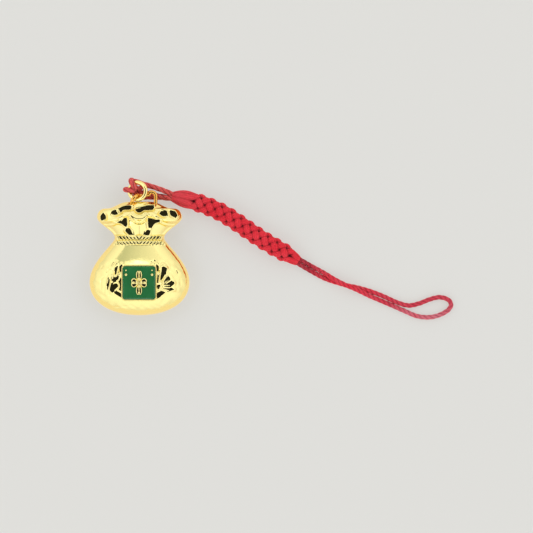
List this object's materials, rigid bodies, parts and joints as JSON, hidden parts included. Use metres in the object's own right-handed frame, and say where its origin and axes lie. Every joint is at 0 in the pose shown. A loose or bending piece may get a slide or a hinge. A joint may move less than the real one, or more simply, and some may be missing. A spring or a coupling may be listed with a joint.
{
  "type": "omamori charm",
  "caption": "Hollow gold money-bag charm with an enamelled plaque, hung by a wire bail and jump ring on a red braided cord strap that ends in a thin hanging loop.",
  "frame": {"origin": "middle of the flat on the bag's back, where it rests, level with the widest line of the belly", "axes": "+X to the right across the bag, +Y up the bag towards its mouth and ring, +Z out of its front"},
  "size_m": [0.0909, 0.0354, 0.0104],
  "materials": {
    "gold": "polished bright gold plate",
    "enamel": "smooth green enamel fill",
    "cord": "soft red braided and twisted yarn",
    "paper": "blank folded paper"
  },
  "bodies": {
    "charm": {"front_shell": "gold", "back_shell": "gold", "plaque_tray": "gold", "enamel_panel": "enamel", "plaque_motif": "gold", "bail": "gold", "prayer_slip": "paper"},
    "ring": {"jump_ring": "gold"},
    "strap": {"hitch_loop_upper": "cord", "hitch_loop_lower": "cord", "braid": "cord", "tail_cord": "cord"}
  },
  "joints": [
    {"name": "ring_swing", "type": "hinge", "parent": "charm", "child": "ring", "pos_m": [-0.00045, 0.02275, 0.0061], "axis": [0, 1, 0], "range_deg": [-22, 0]},
    {"name": "strap_swing", "type": "hinge", "parent": "ring", "child": "strap", "pos_m": [-0.00045, 0.02275, 0.0061], "axis": [-0.309, 0, 0.9511], "range_deg": [-6, 30]}
  ]
}
